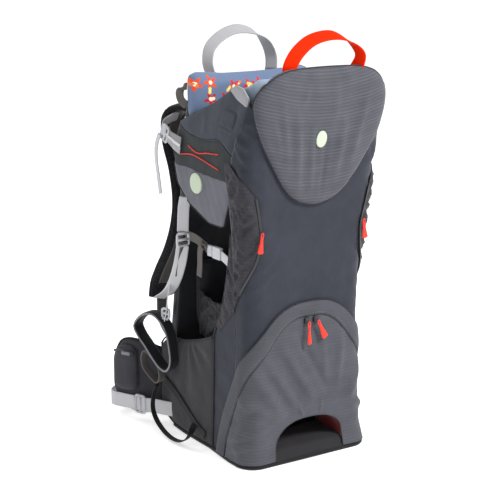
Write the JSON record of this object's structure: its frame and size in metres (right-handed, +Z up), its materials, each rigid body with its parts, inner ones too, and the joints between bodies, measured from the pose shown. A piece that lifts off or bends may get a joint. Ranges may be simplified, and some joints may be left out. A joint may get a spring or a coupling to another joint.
{
  "type": "baby carrier backpack",
  "caption": "Framed child carrier backpack standing on a folding kickstand, with padded harness, hip belt, foot stirrups, rear pocket and grab handles.",
  "frame": {"origin": "on the ground, in the middle of the overall footprint", "axes": "+Z up, +Y towards the wearer's back, +X to the wearer's right; the outer rear panel faces -Y"},
  "size_m": [0.4004, 0.5221, 0.7942],
  "materials": {
    "alu_tube": "satin",
    "sleeve": "moulded",
    "pins": "brushed",
    "rubber": "matte",
    "mesh_black": "spacer mesh",
    "slate": "plain weave",
    "ripple_grey": "ripple weave",
    "stretch_grey": "stretch weave",
    "slot_red": "coated weave",
    "black_fabric": "plain weave",
    "pad_blue": "brushed jersey",
    "liner_blue": "brushed jersey",
    "webbing_grey": "webbing",
    "webbing_taupe": "webbing",
    "webbing_black": "webbing",
    "webbing_orange": "webbing",
    "pull_orange": "moulded",
    "buckle_grey": "moulded",
    "slider": "painted"
  },
  "bodies": {
    "frame": {"main_hoop": "alu_tube", "base_hoop": "alu_tube", "splice_sleeves": "sleeve", "cross_bars": "alu_tube", "side_arm_left": "alu_tube", "side_arm_right": "alu_tube", "hinge_pins": "pins", "headrest_hoop": "alu_tube", "base_foot": "rubber", "back_board": "sleeve", "back_pad": "mesh_black", "lumbar_pad": "mesh_black", "face_pad": "pad_blue", "headrest_liner": "liner_blue", "outer_panel_upper": "slate", "headrest_shield": "ripple_grey", "side_wing_left": "slate", "side_wing_right": "slate", "side_panel_left": "stretch_grey", "side_panel_right": "stretch_grey", "base_floor": "stretch_grey", "lifter_straps": "webbing_grey", "adjuster_straps": "webbing_grey", "ladder_locks": "buckle_grey", "side_buckle_sockets": "buckle_grey", "side_straps": "webbing_grey", "stirrup_hangers": "webbing_grey", "tethers": "webbing_black"},
    "kickstand": {"kickstand_tube": "alu_tube", "kickstand_foot": "rubber", "outer_panel_lower": "slate", "gusset_left": "ripple_grey", "gusset_right": "ripple_grey", "lower_pocket": "ripple_grey", "slot_lining": "slot_red", "pocket_sliders": "slider"},
    "seat": {"child_seat": "black_fabric", "child_straps": "black_fabric"},
    "harness": {"yoke_plate": "sleeve", "shoulder_strap_left": "mesh_black", "shoulder_strap_right": "mesh_black", "strap_tails": "webbing_taupe", "sternum_strap": "webbing_taupe"},
    "hip_belt": {"hip_fin_left": "slate", "hip_fin_right": "slate", "hip_webbing_left": "webbing_grey", "hip_webbing_right": "webbing_grey", "belt_locks": "buckle_grey", "waist_socket": "buckle_grey"},
    "waist_plug": {"waist_plug": "buckle_grey"},
    "side_plug_left": {"side_buckle_plug_left": "buckle_grey"},
    "side_plug_right": {"side_buckle_plug_right": "buckle_grey"},
    "stirrup_left": {"stirrup_left": "mesh_black"},
    "stirrup_right": {"stirrup_right": "mesh_black"},
    "front_handle": {"front_handle": "webbing_grey"},
    "rear_handle": {"rear_handle": "webbing_orange"},
    "pocket_pull_left": {"pocket_pull_left": "pull_orange"},
    "pocket_pull_right": {"pocket_pull_right": "pull_orange"},
    "gusset_pull_left": {"gusset_pull_left": "pull_orange"},
    "gusset_pull_right": {"gusset_pull_right": "pull_orange"}
  },
  "joints": [
    {"name": "kickstand_fold", "type": "hinge", "parent": "frame", "child": "kickstand", "pos_m": [0, -0.153, 0.5], "axis": [1, 0, 0], "range_deg": [0, 18], "deforming": ["side_panel_left", "side_panel_right", "base_floor", "tethers"]},
    {"name": "seat_height", "type": "slide", "parent": "frame", "child": "seat", "axis": [0, 0, 1], "range_m": [-0.025, 0.04]},
    {"name": "harness_height", "type": "slide", "parent": "frame", "child": "harness", "axis": [0, -0.1435, 0.9897], "range_m": [-0.035, 0.03], "deforming": ["lifter_straps", "adjuster_straps", "strap_tails"]},
    {"name": "hip_belt_tilt", "type": "hinge", "parent": "frame", "child": "hip_belt", "pos_m": [0, 0.116, 0.096], "axis": [1, 0, 0], "range_deg": [0, 18], "deforming": ["hip_webbing_left", "hip_webbing_right", "side_panel_left", "side_panel_right"]},
    {"name": "waist_buckle_release", "type": "slide", "parent": "hip_belt", "child": "waist_plug", "axis": [1, 0, 0], "range_m": [0, 0.03], "deforming": ["hip_webbing_right"]},
    {"name": "side_buckle_release_left", "type": "slide", "parent": "frame", "child": "side_plug_left", "axis": [0, 1, 0], "range_m": [0, 0.022], "deforming": ["side_straps"]},
    {"name": "side_buckle_release_right", "type": "slide", "parent": "frame", "child": "side_plug_right", "axis": [0, 1, 0], "range_m": [0, 0.022], "deforming": ["side_straps"]},
    {"name": "stirrup_swing_left", "type": "hinge", "parent": "frame", "child": "stirrup_left", "pos_m": [-0.152, 0.054, 0.226], "axis": [0.9474, -0.3201, 0], "range_deg": [-12, 12]},
    {"name": "stirrup_swing_right", "type": "hinge", "parent": "frame", "child": "stirrup_right", "pos_m": [0.152, 0.054, 0.226], "axis": [0.9474, 0.3201, 0], "range_deg": [-12, 12]},
    {"name": "front_handle_swing", "type": "hinge", "parent": "frame", "child": "front_handle", "pos_m": [0, 0.019, 0.702], "axis": [1, 0, 0], "range_deg": [-60, 10], "stiffness_Nm_per_rad": 0.05},
    {"name": "rear_handle_swing", "type": "hinge", "parent": "frame", "child": "rear_handle", "pos_m": [0, -0.233, 0.714], "axis": [1, 0, 0], "range_deg": [-20, 8], "stiffness_Nm_per_rad": 0.05},
    {"name": "pocket_pull_swing_left", "type": "hinge", "parent": "kickstand", "child": "pocket_pull_left", "pos_m": [-0.008, -0.2162, 0.265], "axis": [-1, 0, 0], "range_deg": [0, 80]},
    {"name": "pocket_pull_swing_right", "type": "hinge", "parent": "kickstand", "child": "pocket_pull_right", "pos_m": [0.012, -0.2162, 0.265], "axis": [-1, 0, 0], "range_deg": [0, 80]},
    {"name": "gusset_pull_swing_left", "type": "hinge", "parent": "kickstand", "child": "gusset_pull_left", "pos_m": [-0.112, -0.2198, 0.445], "axis": [-1, 0, 0], "range_deg": [0, 70]},
    {"name": "gusset_pull_swing_right", "type": "hinge", "parent": "kickstand", "child": "gusset_pull_right", "pos_m": [0.112, -0.2198, 0.445], "axis": [-1, 0, 0], "range_deg": [0, 70]}
  ]
}
